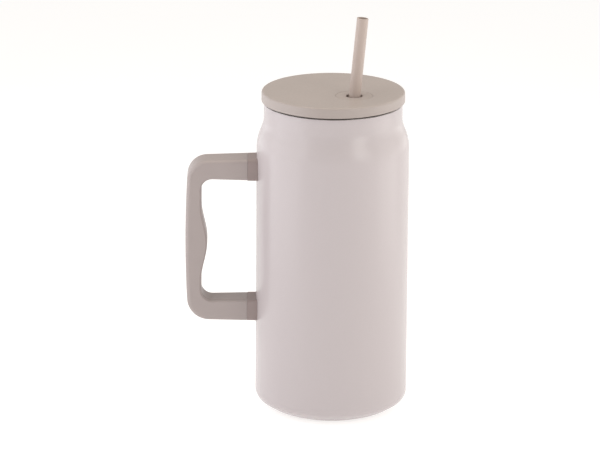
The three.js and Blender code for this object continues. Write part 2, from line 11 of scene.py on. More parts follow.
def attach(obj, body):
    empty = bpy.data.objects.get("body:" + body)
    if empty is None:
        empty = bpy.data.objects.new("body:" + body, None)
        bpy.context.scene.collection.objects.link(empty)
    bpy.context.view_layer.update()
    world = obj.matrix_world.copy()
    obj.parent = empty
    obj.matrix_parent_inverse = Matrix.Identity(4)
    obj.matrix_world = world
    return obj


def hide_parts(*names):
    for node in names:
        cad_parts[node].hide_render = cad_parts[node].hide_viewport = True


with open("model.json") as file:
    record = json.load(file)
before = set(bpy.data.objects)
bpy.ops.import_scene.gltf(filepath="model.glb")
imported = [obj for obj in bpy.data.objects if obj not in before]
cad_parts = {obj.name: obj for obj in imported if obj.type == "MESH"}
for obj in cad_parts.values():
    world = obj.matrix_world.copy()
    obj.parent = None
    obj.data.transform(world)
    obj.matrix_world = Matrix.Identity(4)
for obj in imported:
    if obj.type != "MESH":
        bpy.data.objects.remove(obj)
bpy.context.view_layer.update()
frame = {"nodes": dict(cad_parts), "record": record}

MM = 0.001

# ------------------------------------------------------------------ dimensions, in millimetres

GAP = 0.3  # between pieces that move, or that a seal or a clip holds
SEAM = 0.06  # between pieces that are welded, glued or pressed together
ROUND_SIDES = 192  # of every large turned piece
SMALL_SIDES = 96  # of the seal round the straw
STRAW_SIDES = 64

STEEL = 0.6  # thickness of every pressed steel wall
BODY_RADIUS = 52.5
NECK_RADIUS = 47.6
FOOT_HEIGHT = 1.0  # the steel foot above the table, which the pad fills
CORNER_RADIUS = 8.8  # of the two bends in the shell's lower corner
CORNER_TURN = 58  # degrees that the upper bend turns the wall inwards
CORNER_SLOPE = 6  # length of the straight slope between the bends
FOOT_OPENING = 33  # radius where the shell meets its welded base
SHOULDER_HEIGHT = 185  # top of the straight wall
NECK_HEIGHT = 208  # bottom of the straight neck
RIM_HEIGHT = 217.4  # top of the liner's bare steel lip
RIM_DROP = 0.1  # how far the shell's edge stays below the lip's top
LIP_THICKNESS = 1.05
SHOULDER_SHARE = 0.6  # part of the shoulder that curves outwards

MOUTH_RADIUS = 45  # bore of the liner's neck
LINER_RADIUS = 48.4
LINER_FLOOR = 11.6
LINER_FILLET = 10
LINER_SHOULDER_DROP = 2  # the liner narrows this much below the shell

LID_RADIUS = 49.25
LID_HEIGHT = 226  # top of the lid
LID_EDGE_HEIGHT = 218.8  # underside of the lid's edge
LID_EDGE_FILLET = 1.7
LID_RIM = 2.5  # thickness of the lid's edge
LID_PLATE = 2.6  # thickness of the top plate
LID_WALL = 2
PLUG_RADIUS = 43.4
PLUG_BOTTOM = 205
FLANGE_HEIGHT = 219.4  # underside of the lid's inner flange, above the rim
TUBE_RADIUS = 11.2  # of the tube round the straw, under the lid
TUBE_BORE = 9.6

STRAW_RADIUS = 4
STRAW_BORE = 3.2
STRAW_LENGTH = 268
STRAW_TOP = 279.7
STRAW_LEAN_RIGHT = math.radians(5.27)  # towards +X at the top
STRAW_LEAN_BACK = math.radians(2.5)  # towards +Y at the top
HOLE_OFFSET = 20  # the straw hole's centre from the vessel's axis
HOLE_ANGLE = math.radians(-45)
HOLE_RADIUS = 5.7
SEAL_FLANGE_RADIUS = 12.75
SEAL_NECK = 8  # radius of the hole in the lid's plate that holds the seal
RECESS_DEPTH = 1.8  # of the seal's recess in the lid
STRAW_SHIFT = (0.4, 0.95)  # the straw from the hole's centre at the lid

HANDLE_WIDTH = 22
HANDLE_EDGE = 3  # radius of the handle's long outer edges
INNER_EDGE = 1.2  # radius of its long edges along the finger opening
ARM_TOP = 177.8  # the arms' four faces at their outer ends, by the grip
ARM_BOTTOM = 63.6
OPENING_TOP = 164.5
OPENING_BOTTOM = 77.65
TOP_FLARE = 1.4  # how far each face moves outwards by the vessel
BOTTOM_FLARE = 0.5
OPENING_FLARE = 0.75
GRIP_OUTER = -100.1
GRIP_INNER = -90.25
GRIP_BOW = 1.1  # how far the grip's back bows outwards
UPPER_CORNER = 14
LOWER_CORNER = 15.5
INNER_CORNER = 7.6
BULGE_HEIGHT = 4.05  # the finger bulge on the grip's inner face
BULGE_HALF_LENGTH = 27
BULGE_CENTRE = 118.6
COVER_THICKNESS = 3  # the grip cover, let into the handle's inner side
COVER_WIDTH = 14.6
COVER_EDGE = 1  # radius of the cover's long edges
COVER_PROUD = 0.3  # how far it stands out of the body
COLLAR_END = -58.6  # where the arms meet their collars
ARM_START = -50  # where the arms' flares end, inside the vessel's outline

HOLE = Vector((HOLE_OFFSET * math.cos(HOLE_ANGLE), HOLE_OFFSET * math.sin(HOLE_ANGLE)))
STRAW_DIRECTION = Vector((math.tan(STRAW_LEAN_RIGHT), math.tan(STRAW_LEAN_BACK), 1)).normalized()
STRAW_AT_LID = Vector((HOLE.x + STRAW_SHIFT[0], HOLE.y + STRAW_SHIFT[1], LID_HEIGHT))

# ------------------------------------------------------------------ outlines


def arc(x, z, radius, start, end, steps):
    """Points of an arc about (x, z), from one angle to another in degrees, ends included."""
    angles = [math.radians(start + (end - start) * i / steps) for i in range(steps + 1)]
    return [(x + radius * math.cos(a), z + radius * math.sin(a)) for a in angles]


def shoulder(low_radius, low_height, high_radius, high_height, steps):
    """Two tangent arcs that narrow a vertical wall from the lower point to the upper one."""
    rise = high_height - low_height
    turn = 2 * math.atan((low_radius - high_radius) / rise)
    total = rise / math.sin(turn)
    convex = total * SHOULDER_SHARE
    concave = total - convex
    degrees = math.degrees(turn)
    upper = arc(high_radius + concave, high_height, concave, 180 + degrees, 180, steps)
    return arc(low_radius - convex, low_height, convex, 0, degrees, steps) + upper[1:]


def rounded(corners, closed=True):
    """An outline of (x, z) or (x, z, radius) corners, with an arc at each corner that has a radius."""
    made = []
    count = len(corners)
    for i, corner in enumerate(corners):
        here = Vector(corner[:2])
        radius = corner[2] if len(corner) > 2 else 0
        inside = closed or 0 < i < count - 1
        if not radius or not inside:
            made.append(tuple(here))
            continue
        back = (Vector(corners[i - 1][:2]) - here).normalized()
        ahead = (Vector(corners[(i + 1) % count][:2]) - here).normalized()
        half = math.acos(max(-1, min(1, back.dot(ahead)))) / 2
        centre = here + (back + ahead).normalized() * (radius / math.sin(half))
        first = here + back * (radius / math.tan(half)) - centre
        turn = first.angle_signed(here + ahead * (radius / math.tan(half)) - centre)
        steps = max(3, round(abs(math.degrees(turn)) / 15))
        for k in range(steps + 1):
            rotated = first.copy()
            rotated.rotate(Matrix.Rotation(-turn * k / steps, 2))
            made.append(tuple(centre + rotated))
    return made


# ------------------------------------------------------------------ meshes


def circle(radius, height, centre=(0, 0), sides=ROUND_SIDES):
    """A ring of points about an upright axis."""
    if radius == 0:
        return [(centre[0], centre[1], height)]
    turns = [2 * math.pi * i / sides for i in range(sides)]
    return [
        (centre[0] + radius * math.cos(a), centre[1] + radius * math.sin(a), height) for a in turns
    ]


def between(first, last, steps):
    """The rings between two rings, ends left out."""
    made = []
    for k in range(1, steps):
        share = k / steps
        made.append([tuple(Vector(a).lerp(Vector(b), share)) for a, b in zip(first, last)])
    return made


def loft(name, rings, closed=False, caps=False):
    """A skin over rings of points in millimetres. A ring of one point is a pole."""
    bm = bmesh.new()
    rows = [[bm.verts.new(Vector(p) * MM) for p in ring] for ring in rings]
    pairs = list(zip(rows, rows[1:])) + ([(rows[-1], rows[0])] if closed else [])
    for low, high in pairs:
        count = max(len(low), len(high))
        for i in range(count):
            j = (i + 1) % count
            loop = [low[i % len(low)], low[j % len(low)], high[j % len(high)], high[i % len(high)]]
            bm.faces.new(list(dict.fromkeys(loop)))
    if caps:
        bm.faces.new(rows[0])
        bm.faces.new(rows[-1])
    bmesh.ops.recalc_face_normals(bm, faces=bm.faces)
    mesh = bpy.data.meshes.new(name)
    bm.to_mesh(mesh)
    bm.free()
    made = bpy.data.objects.new(name, mesh)
    bpy.context.collection.objects.link(made)
    soften(made)
    return made


def soften(made):
    """Smooth shading that keeps real edges, with flat faces kept flat beside their fillets."""
    made.data.shade_smooth()
    made.data.set_sharp_from_angle(angle=math.radians(35))
    modifier = made.modifiers.new("weighted", "WEIGHTED_NORMAL")
    modifier.keep_sharp = True


def turned(name, profile):
    """A piece turned about the vessel's axis from (radius, height) points."""
    on_axis = profile[0][0] == 0 and profile[-1][0] == 0
    rings = [circle(radius, height) for radius, height in profile]
    return loft(name, rings, closed=not on_axis)


def dress(piece, body, material, slot, *nodes):
    """Gives a piece its body, material and the CAD nodes that it stands for; its slot is not used."""
    piece.data.materials.append(material)
    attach(piece, body)
    if nodes:
        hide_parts(*nodes)


# ------------------------------------------------------------------ materials


class Surface:
    """A procedural material, in the row frame's coordinates."""

    def __init__(self, name, roughness, metallic=0.0, specular=0.5):
        self.material = bpy.data.materials.new(name)
        self.material.use_nodes = True
        self.tree = self.material.node_tree
        self.shader = self.tree.nodes["Principled BSDF"]
        self.shader.inputs["Roughness"].default_value = roughness
        self.shader.inputs["Metallic"].default_value = metallic
        self.shader.inputs["Specular IOR Level"].default_value = specular
        self.place = self.tree.nodes.new("ShaderNodeTexCoord").outputs["Object"]
        self.height = None

    def noise(self, scale, detail=2.0, stretch=None):
        vector = self.place
        if stretch:
            mapping = self.tree.nodes.new("ShaderNodeMapping")
            mapping.inputs["Scale"].default_value = stretch
            self.tree.links.new(vector, mapping.inputs["Vector"])
            vector = mapping.outputs["Vector"]
        node = self.tree.nodes.new("ShaderNodeTexNoise")
        node.inputs["Scale"].default_value = scale
        node.inputs["Detail"].default_value = detail
        self.tree.links.new(vector, node.inputs["Vector"])
        return node.outputs["Fac"]

    def colour(self, low, high, source):
        """Colour that wanders between two values with a noise."""
        ramp = self.tree.nodes.new("ShaderNodeValToRGB")
        ramp.color_ramp.elements[0].position = 0.3
        ramp.color_ramp.elements[1].position = 0.7
        ramp.color_ramp.elements[0].color = (*low, 1)
        ramp.color_ramp.elements[1].color = (*high, 1)
        self.tree.links.new(source, ramp.inputs["Fac"])
        self.tree.links.new(ramp.outputs["Color"], self.shader.inputs["Base Color"])

    def roughness(self, low, high, source):
        node = self.tree.nodes.new("ShaderNodeMapRange")
        node.inputs["From Min"].default_value = 0.3
        node.inputs["From Max"].default_value = 0.7
        node.inputs["To Min"].default_value = low
        node.inputs["To Max"].default_value = high
        self.tree.links.new(source, node.inputs["Value"])
        self.tree.links.new(node.outputs["Result"], self.shader.inputs["Roughness"])

    def bump(self, depth, source):
        """Relief of a depth in millimetres, on top of any made before."""
        node = self.tree.nodes.new("ShaderNodeBump")
        node.inputs["Strength"].default_value = 1.0
        node.inputs["Distance"].default_value = depth * MM
        self.tree.links.new(source, node.inputs["Height"])
        if self.height:
            self.tree.links.new(self.height, node.inputs["Normal"])
        self.height = node.outputs["Normal"]
        self.tree.links.new(self.height, self.shader.inputs["Normal"])


def shades(color, spread):
    """A darker and a lighter shade of a colour."""
    return [tuple(c * (1 - spread) for c in color), tuple(c * (1 + spread) for c in color)]


def powder_coat():
    surface = Surface("powder_coat", 0.25, specular=0.38)
    surface.colour(*shades((0.474, 0.423, 0.428), 0.012), surface.noise(1400, 3))
    surface.roughness(0.235, 0.265, surface.noise(160, 2))
    surface.bump(0.02, surface.noise(750, 2))
    surface.bump(0.008, surface.noise(2600, 1))
    return surface.material


def moulded(name, color, roughness=0.42, grain=0.01):
    surface = Surface(name, roughness)
    surface.colour(*shades(color, 0.015), surface.noise(60, 3))
    surface.roughness(roughness - 0.03, roughness + 0.04, surface.noise(500, 2))
    surface.bump(grain, surface.noise(2200, 2))
    return surface.material


def steel(name, color, low, high):
    surface = Surface(name, low, metallic=1.0)
    rings = surface.noise(1, 2, stretch=(20, 20, 2400))
    surface.colour(*shades(color, 0.03), surface.noise(30, 2))
    surface.roughness(low, high, rings)
    surface.bump(0.004, rings)
    return surface.material


def rubber(name, color, roughness=0.6):
    surface = Surface(name, roughness, specular=0.4)
    surface.colour(*shades(color, 0.03), surface.noise(220, 3))
    surface.roughness(roughness - 0.05, roughness + 0.08, surface.noise(300, 2))
    surface.bump(0.015, surface.noise(1300, 2))
    return surface.material


POWDER = powder_coat()
PLASTIC = moulded("taupe_plastic", (0.335, 0.284, 0.274))
# The handle's taupe plastic made lighter: painted light that brightens the lid.
LID_PAINTED_LIGHT = moulded("lid_plastic_painted_light", (0.362, 0.309, 0.288))
# Darker than the handle's plastic: partly the collars' own tone, partly painted shade where the arms
# meet the shell.
SHADED_COLLAR = moulded("collar_plastic", (0.285, 0.225, 0.215), 0.46)
STRAW = moulded("straw_plastic", (0.42, 0.34, 0.303), 0.33, 0.002)
LINER = steel("liner_steel", (0.62, 0.61, 0.6), 0.28, 0.36)
RAW = steel("raw_steel", (0.5, 0.49, 0.48), 0.32, 0.46)
SILICONE = rubber("silicone", (0.358, 0.305, 0.284), 0.5)
PAD = rubber("pad_rubber", (0.33, 0.29, 0.265), 0.7)
SOLDER = moulded("glass_solder", (0.08, 0.09, 0.1), 0.32, 0.004)
GETTER = steel("getter_metal", (0.2, 0.19, 0.185), 0.6, 0.8)
BY_SLOT = {
    "powder_coat": POWDER,
    "taupe_plastic": PLASTIC,
    "collar_plastic": SHADED_COLLAR,
    "straw_plastic": STRAW,
    "liner_steel": LINER,
    "raw_steel": RAW,
    "silicone": SILICONE,
    "pad_rubber": PAD,
    "glass_solder": SOLDER,
    "getter_metal": GETTER,
}
for entry in frame["record"]["subparts"]:
    node = frame["nodes"][entry["node"]]
    for material_slot in node.material_slots:
        material_slot.material = BY_SLOT[entry["material_slot"]]

# ------------------------------------------------------------------ the vessel


def lower_corner(depth):
    """The shell's lower corner, from the foot up to the wall, moved inwards by a depth."""
    turn = math.radians(CORNER_TURN)
    radius = CORNER_RADIUS - depth
    centre = BODY_RADIUS - CORNER_RADIUS
    height = FOOT_HEIGHT + CORNER_RADIUS
    low = arc(centre - CORNER_SLOPE * math.sin(turn), height, radius, -90, -CORNER_TURN, 8)
    high = arc(centre, height + CORNER_SLOPE * math.cos(turn), radius, -CORNER_TURN, 0, 14)
    return low + high


def outer_shell():
    """The outer wall, from its foot up to a rounded edge round the liner's lip."""
    inner = BODY_RADIUS - STEEL
    neck_inner = NECK_RADIUS - STEEL
    edge = RIM_HEIGHT - RIM_DROP
    rounding = STEEL / 2
    outside = (
        [(FOOT_OPENING, FOOT_HEIGHT)]
        + lower_corner(0)
        + shoulder(BODY_RADIUS, SHOULDER_HEIGHT, NECK_RADIUS, NECK_HEIGHT, 12)
    )
    rim = arc(NECK_RADIUS - rounding, edge - rounding, rounding, 0, 180, 8)
    inside = (
        shoulder(inner, SHOULDER_HEIGHT, neck_inner, NECK_HEIGHT, 12)[::-1]
        + lower_corner(STEEL)[::-1]
        + [(FOOT_OPENING, FOOT_HEIGHT + STEEL)]
    )
    return turned("shell_skin", outside + rim + inside)


def inner_liner():
    """The inner wall, with a lip that turns out over the mouth's edge."""
    inner = LINER_RADIUS - STEEL
    centre = inner - LINER_FILLET
    corner = LINER_FLOOR + LINER_FILLET
    low = SHOULDER_HEIGHT - LINER_SHOULDER_DROP
    high = NECK_HEIGHT - LINER_SHOULDER_DROP
    neck_outer = MOUTH_RADIUS + STEEL
    underside = RIM_HEIGHT - LIP_THICKNESS
    lip_radius = NECK_RADIUS - STEEL - SEAM
    lip = rounded(
        [
            (neck_outer, high + 1),
            (neck_outer, underside, 0.2),
            (lip_radius, underside, 0.15),
            (lip_radius, RIM_HEIGHT, 0.3),
            (MOUTH_RADIUS, RIM_HEIGHT, 0.8),
            (MOUTH_RADIUS, high + 1),
        ],
        closed=False,
    )
    profile = (
        arc(centre, corner, LINER_FILLET + STEEL, -90, 0, 12)
        + shoulder(LINER_RADIUS, low, neck_outer, high, 10)
        + lip[1:-1]
        + shoulder(inner, low, MOUTH_RADIUS, high, 10)[::-1]
        + arc(centre, corner, LINER_FILLET, 0, -90, 12)
    )
    return turned("liner_wall", profile)


def liner_base():
    """The liner's floor, with its middle raised."""
    rim = LINER_RADIUS - STEEL - LINER_FILLET - GAP
    low = LINER_FLOOR - STEEL
    rise = 0.8  # of the raised middle
    middle, foot, bend = 26, 29, 3  # radii of its top and its foot, and of the bends
    profile = rounded(
        [
            (0, low + rise),
            (middle, low + rise, bend),
            (foot, low, bend),
            (rim, low),
            (rim, LINER_FLOOR, 0.2),
            (foot, LINER_FLOOR, bend),
            (middle, LINER_FLOOR + rise, bend),
            (0, LINER_FLOOR + rise),
        ],
        closed=False,
    )
    return turned("liner_floor", profile)


def base_pad():
    """The pad, with a groove in its underside and a ridge that locates it in the base."""
    top = FOOT_HEIGHT - GAP
    edge = 37.8
    groove, depth, half_floor, half_mouth = 30, 0.4, 0.6, 1
    ridge, ridge_top, half_crest, half_foot = 26, 3.6, 1.2, 1.6
    corners = [
        (0, 0),
        (groove - half_mouth, 0, 0.2),
        (groove - half_floor, depth, 0.2),
        (groove + half_floor, depth, 0.2),
        (groove + half_mouth, 0, 0.2),
        (edge, 0, 0.35),
        (edge, top, 0.1),
        (ridge + half_foot, top),
        (ridge + half_crest, ridge_top, 0.3),
        (ridge - half_crest, ridge_top, 0.3),
        (ridge - half_foot, top),
        (0, top),
    ]
    return turned("foot_pad", rounded(corners, closed=False))


dress(outer_shell(), "vessel", POWDER, "powder_coat", "outer_shell")
dress(inner_liner(), "vessel", LINER, "liner_steel", "inner_liner")
dress(liner_base(), "vessel", LINER, "liner_steel", "liner_base")
dress(base_pad(), "vessel", PAD, "pad_rubber", "base_pad")

# ------------------------------------------------------------------ the handle

ARM_STEPS = 6
CORNER_STEPS = 14
GRIP_STEPS = 60


def grip_face(height):
    """The grip's inner face at a height, with the finger bulge."""
    reach = min(1, abs(height - BULGE_CENTRE) / BULGE_HALF_LENGTH)
    return GRIP_INNER + BULGE_HEIGHT / 2 * (1 + math.cos(math.pi * reach))


def straight(first, last, steps):
    """Points of a straight run, its last one left out."""
    return [tuple(Vector(first).lerp(Vector(last), i / steps)) for i in range(steps)]


def flared(face, flare, start, x=COLLAR_END):
    """An arm's face at x. It leaves its outer height at the start and moves by its flare."""
    return face + flare * (x - start) / (ARM_START - start)


def opening_outline(depth):
    """The finger opening's outline, moved into the handle by a depth, from arm to arm."""
    radius = INNER_CORNER + depth
    centre = GRIP_INNER + INNER_CORNER
    top = OPENING_TOP - INNER_CORNER
    bottom = OPENING_BOTTOM + INNER_CORNER
    upper = arc(centre, top, radius, 90, 180, CORNER_STEPS)
    lower = arc(centre, bottom, radius, 180, 270, CORNER_STEPS)
    heights = [top + (bottom - top) * i / GRIP_STEPS for i in range(1, GRIP_STEPS)]
    first = (COLLAR_END, flared(OPENING_TOP, -OPENING_FLARE, centre) + depth)
    last = (COLLAR_END, flared(OPENING_BOTTOM, OPENING_FLARE, centre) - depth)
    return (
        straight(first, upper[0], ARM_STEPS)
        + upper
        + [(grip_face(z) - depth, z) for z in heights]
        + lower
        + straight(last, lower[-1], ARM_STEPS)[::-1]
    )


def back_outline():
    """The handle's back, from the upper arm down to the lower one."""
    top = ARM_TOP - UPPER_CORNER
    bottom = ARM_BOTTOM + LOWER_CORNER
    middle, half = (top + bottom) / 2, (top - bottom) / 2
    high_centre, low_centre = GRIP_OUTER + UPPER_CORNER, GRIP_OUTER + LOWER_CORNER
    upper = arc(high_centre, top, UPPER_CORNER, 90, 180, CORNER_STEPS)
    lower = arc(low_centre, bottom, LOWER_CORNER, 180, 270, CORNER_STEPS)
    heights = [top + (bottom - top) * i / GRIP_STEPS for i in range(1, GRIP_STEPS)]
    bow = [(GRIP_OUTER - GRIP_BOW * (1 - ((z - middle) / half) ** 2), z) for z in heights]
    first = (COLLAR_END, flared(ARM_TOP, TOP_FLARE, high_centre))
    last = (COLLAR_END, flared(ARM_BOTTOM, -BOTTOM_FLARE, low_centre))
    return (
        straight(first, upper[0], ARM_STEPS)
        + upper
        + bow
        + lower
        + straight(last, lower[-1], ARM_STEPS)[::-1]
    )


def offset(outline, distance):
    """An outline moved sideways, to the left of its direction; its ends keep their x."""
    made = []
    for i, here in enumerate(outline):
        before = Vector(outline[max(i - 1, 0)])
        after = Vector(outline[min(i + 1, len(outline) - 1)])
        along = (after - before).normalized()
        if i in (0, len(outline) - 1):
            along = Vector((math.copysign(1, along.x), 0))
        made.append((here[0] - along.y * distance, here[1] + along.x * distance))
    return made


def rounded_corner(outline, radius, half, way, steps=8):
    """Rails round one long edge of a bar: from its side to the face that an outline draws."""
    rails = []
    for k in range(steps + 1):
        angle = math.pi / 2 * k / steps
        moved = offset(outline, way * radius * (1 - math.sin(angle)))
        rails.append((moved, half - radius * (1 - math.cos(angle))))
    return rails


def mirrored(rails):
    """The same rails on the other side, in the other order."""
    return [(outline, -y) for outline, y in rails[::-1]]


def bar(name, rails):
    """A closed bar along rails, each an (x, z) outline at a y."""
    count = len(rails[0][0])
    rings = [[(line[i][0], y, line[i][1]) for line, y in rails] for i in range(count)]
    return loft(name, rings, caps=True)


def handle_body():
    """The moulded handle, with a channel along its inner side for the cover."""
    half = HANDLE_WIDTH / 2
    channel = COVER_WIDTH / 2 + SEAM
    outer = rounded_corner(back_outline(), HANDLE_EDGE, half, 1)
    face = opening_outline(COVER_PROUD)
    inner = rounded_corner(face, INNER_EDGE, half, -1)
    bevel = 0.2
    lip = [(face, channel + bevel), (offset(face, -bevel), channel)]
    floor = [(opening_outline(COVER_THICKNESS), channel)]
    section = outer[::-1] + inner + lip + floor
    return bar("handle_shell", section + mirrored(section))


def grip_cover():
    """The cover in the channel, which stands a little proud of the handle."""
    half = COVER_WIDTH / 2
    front = rounded_corner(opening_outline(0), COVER_EDGE, half, -1)
    back = [(opening_outline(COVER_THICKNESS - SEAM), half)]
    section = back + front
    return bar("grip_face", section + mirrored(section))


dress(handle_body(), "vessel", PLASTIC, "taupe_plastic", "handle_body")
dress(grip_cover(), "vessel", PLASTIC, "taupe_plastic", "grip_cover")


def collar(name, high_side, low_side):
    """The moulded end of an arm, closed against the round shell.

    Each side is its face's outer height, its flare, where that starts and the edges' radius.
    """
    half = HANDLE_WIDTH / 2
    shell = BODY_RADIUS + SEAM
    front = COLLAR_END + SEAM

    def corners(side, x, way):
        face, flare, start, edge = side
        height = flared(face, flare, start, x)
        return [(-half * way, height, edge), (half * way, height, edge)]

    def section(x):
        return rounded(corners(low_side, x, 1) + corners(high_side, x, -1))

    def ring(x, shrink=0.0):
        points = section(x)
        middle = sum(z for _, z in points) / len(points)
        high = max(z for _, z in points)
        low = min(z for _, z in points)
        narrow, flat = 1 - shrink / half, 1 - 2 * shrink / (high - low)
        return [(x, y * narrow, middle + (z - middle) * flat) for y, z in points]

    bevel = 0.15
    against = [(-math.sqrt(shell**2 - y * y), y, z) for _, y, z in ring(-BODY_RADIUS)]
    return loft(name, [ring(front, bevel), ring(front + bevel), against], caps=True)


opening_start = GRIP_INNER + INNER_CORNER
for side, high_side, low_side in (
    (
        "upper",
        (ARM_TOP, TOP_FLARE, GRIP_OUTER + UPPER_CORNER, HANDLE_EDGE),
        (OPENING_TOP, -OPENING_FLARE, opening_start, INNER_EDGE),
    ),
    (
        "lower",
        (OPENING_BOTTOM, OPENING_FLARE, opening_start, INNER_EDGE),
        (ARM_BOTTOM, -BOTTOM_FLARE, GRIP_OUTER + LOWER_CORNER, HANDLE_EDGE),
    ),
):
    # The collars' darker plastic is partly painted shade at the arm roots.
    piece = collar(side + "_arm_end", high_side, low_side)
    dress(piece, "vessel", SHADED_COLLAR, "collar_plastic", side + "_collar")

# ------------------------------------------------------------------ the lid

hole_at = (HOLE.x, HOLE.y)


def lid_cap():
    """The lid's top, with a hole and a recess for the straw's seal."""
    underside = LID_HEIGHT - LID_PLATE
    rim_inner = LID_RADIUS - LID_RIM
    recess = SEAL_FLANGE_RADIUS + SEAM
    floor = LID_HEIGHT - RECESS_DEPTH
    fillet = LID_EDGE_FILLET
    bevel = 0.2
    rings = [
        circle(SEAL_NECK, underside, hole_at),
        circle(SEAL_NECK, floor, hole_at),
        circle(recess, floor, hole_at),
        circle(recess, LID_HEIGHT - bevel, hole_at),
        circle(recess + 0.3 * bevel, LID_HEIGHT - 0.3 * bevel, hole_at),
        circle(recess + bevel, LID_HEIGHT, hole_at),
    ]
    edge = arc(LID_RADIUS - fillet, LID_HEIGHT - fillet, fillet, 90, 0, 8)
    first = circle(*edge[0])
    rings += between(rings[-1], first, 6)
    rings += [circle(*p) for p in edge]
    skirt = rounded(
        [
            (LID_RADIUS, LID_HEIGHT - fillet),
            (LID_RADIUS, LID_EDGE_HEIGHT, 0.4),
            (rim_inner, LID_EDGE_HEIGHT, 0.3),
            (rim_inner, underside),
        ],
        closed=False,
    )
    rings += [circle(*p) for p in skirt[1:]]
    rings += between(rings[-1], rings[0], 4)
    return loft("lid_top", rings, closed=True)


def lid_base():
    """The plug in the mouth, with its flange and the tube round the straw."""
    floor = PLUG_BOTTOM + LID_WALL
    wall = PLUG_RADIUS - LID_WALL
    flange = LID_RADIUS - LID_RIM - GAP
    tube_top = LID_HEIGHT - LID_PLATE - GAP
    bevel = 0.4
    bead = PLUG_RADIUS + 0.7  # the lip under the gasket
    bead_low = PLUG_BOTTOM + 1.6
    bottom = [
        circle(TUBE_BORE, PLUG_BOTTOM + bevel, hole_at),
        circle(TUBE_BORE + 0.3 * bevel, PLUG_BOTTOM + 0.3 * bevel, hole_at),
        circle(TUBE_BORE + bevel, PLUG_BOTTOM, hole_at),
    ]
    outside = rounded(
        [
            (PLUG_RADIUS - 6, PLUG_BOTTOM),
            (PLUG_RADIUS - 1.4, PLUG_BOTTOM, 0.8),
            (bead, bead_low, 0.4),
            (bead, bead_low + 1, 0.3),
            (PLUG_RADIUS, bead_low + 1.8, 0.2),
            (PLUG_RADIUS, FLANGE_HEIGHT, 0.3),
            (flange, FLANGE_HEIGHT, 0.2),
            (flange, FLANGE_HEIGHT + LID_WALL, 0.2),
            (wall, FLANGE_HEIGHT + LID_WALL, 0.2),
            (wall, floor, 1),
            (wall - 4, floor),
        ],
        closed=False,
    )
    walls = [circle(*p) for p in outside]
    tube = [
        circle(TUBE_RADIUS + 0.6, floor, hole_at),
        circle(TUBE_RADIUS, floor + 0.6, hole_at),
        circle(TUBE_RADIUS, tube_top, hole_at),
        circle(TUBE_BORE, tube_top, hole_at),
    ]
    rings = bottom + between(bottom[-1], walls[0], 5) + walls
    rings += between(walls[-1], tube[0], 5) + tube
    return loft("lid_plug", rings, closed=True)


def lid_gasket():
    """A sleeve with two fins in the mouth, and a collar over the rim."""
    inner = PLUG_RADIUS + GAP
    sleeve = inner + 0.65
    fin = MOUTH_RADIUS - GAP
    low = PLUG_BOTTOM + 3.7  # above the plug's bead
    outer = NECK_RADIUS - 1.4
    seat = RIM_HEIGHT + GAP
    top = FLANGE_HEIGHT - GAP
    corners = [(inner, low), (sleeve, low, 0.2)]
    for height in (low + 2, low + 5.4):  # each fin's underside rises towards its tip
        corners += [
            (sleeve, height - 0.7),
            (fin, height + 0.1, 0.12),
            (fin, height + 0.5, 0.12),
            (sleeve, height + 0.6),
        ]
    corners += [(sleeve, seat, 0.2), (outer, seat, 0.3), (outer, top, 0.3), (inner, top)]
    return turned("gasket_ring", rounded(corners))


def along_straw(radius, height):
    """A level ring about the straw's axis."""
    centre = STRAW_AT_LID + STRAW_DIRECTION * ((height - LID_HEIGHT) / STRAW_DIRECTION.z)
    return circle(radius, height, (centre.x, centre.y), SMALL_SIDES)


def straw_seal():
    """A grommet in the lid's plate: a flange, a neck, a foot, and a lip along the leaning straw."""
    top = LID_HEIGHT - 0.05  # just below the lid's top
    flange_low = LID_HEIGHT - RECESS_DEPTH + GAP
    foot = LID_HEIGHT - LID_PLATE - GAP
    low = foot - 1.8
    neck = SEAL_NECK - GAP
    barb = neck + 1.2
    outside = rounded(
        [
            (STRAW_RADIUS + 2, low),
            (neck, low, 0.3),
            (barb, foot - 0.5, 0.2),
            (barb, foot, 0.2),
            (neck, foot),
            (neck, flange_low),
            (SEAL_FLANGE_RADIUS, flange_low, 0.2),
            (SEAL_FLANGE_RADIUS, top, 0.2),
            (HOLE_RADIUS, top, 0.45),
            (HOLE_RADIUS, low + 1.2, 0.8),
            (HOLE_RADIUS - 1.2, low + 0.8),
        ],
        closed=False,
    )
    rings = [circle(radius, height, hole_at, SMALL_SIDES) for radius, height in outside]
    passage = STRAW_RADIUS + GAP
    rings += [
        along_straw(passage + 0.2, low + 0.75),
        along_straw(passage, low + 0.55),
        along_straw(passage, low + 0.2),
        along_straw(passage + 0.2, low),
    ]
    return loft("straw_grommet", rings, closed=True)


# The lid pieces take the lighter copy of the taupe plastic, which paints light onto the lid.
dress(lid_cap(), "lid", LID_PAINTED_LIGHT, "taupe_plastic", "lid_cap")
dress(lid_base(), "lid", LID_PAINTED_LIGHT, "taupe_plastic", "lid_base")
dress(lid_gasket(), "gasket", SILICONE, "silicone", "lid_gasket")
dress(straw_seal(), "lid", SILICONE, "silicone", "straw_seal")

# ------------------------------------------------------------------ the straw


def straw():
    """A tube hung from its top end along the leaning axis."""
    top = STRAW_AT_LID + STRAW_DIRECTION * ((STRAW_TOP - LID_HEIGHT) / STRAW_DIRECTION.z)
    turn = Vector((0, 0, 1)).rotation_difference(STRAW_DIRECTION)
    edge = 0.35
    profile = rounded(
        [
            (STRAW_BORE, -STRAW_LENGTH, edge),
            (STRAW_RADIUS, -STRAW_LENGTH, edge),
            (STRAW_RADIUS, 0, edge),
            (STRAW_BORE, 0, edge),
        ]
    )
    rings = []
    for radius, height in profile:
        ring = circle(radius, height, sides=STRAW_SIDES)
        rings.append([tuple(top + turn @ Vector(p)) for p in ring])
    return loft("straw_tube", rings, closed=True)


dress(straw(), "straw", STRAW, "straw_plastic", "straw")

# ------------------------------------------------------------------ the studio


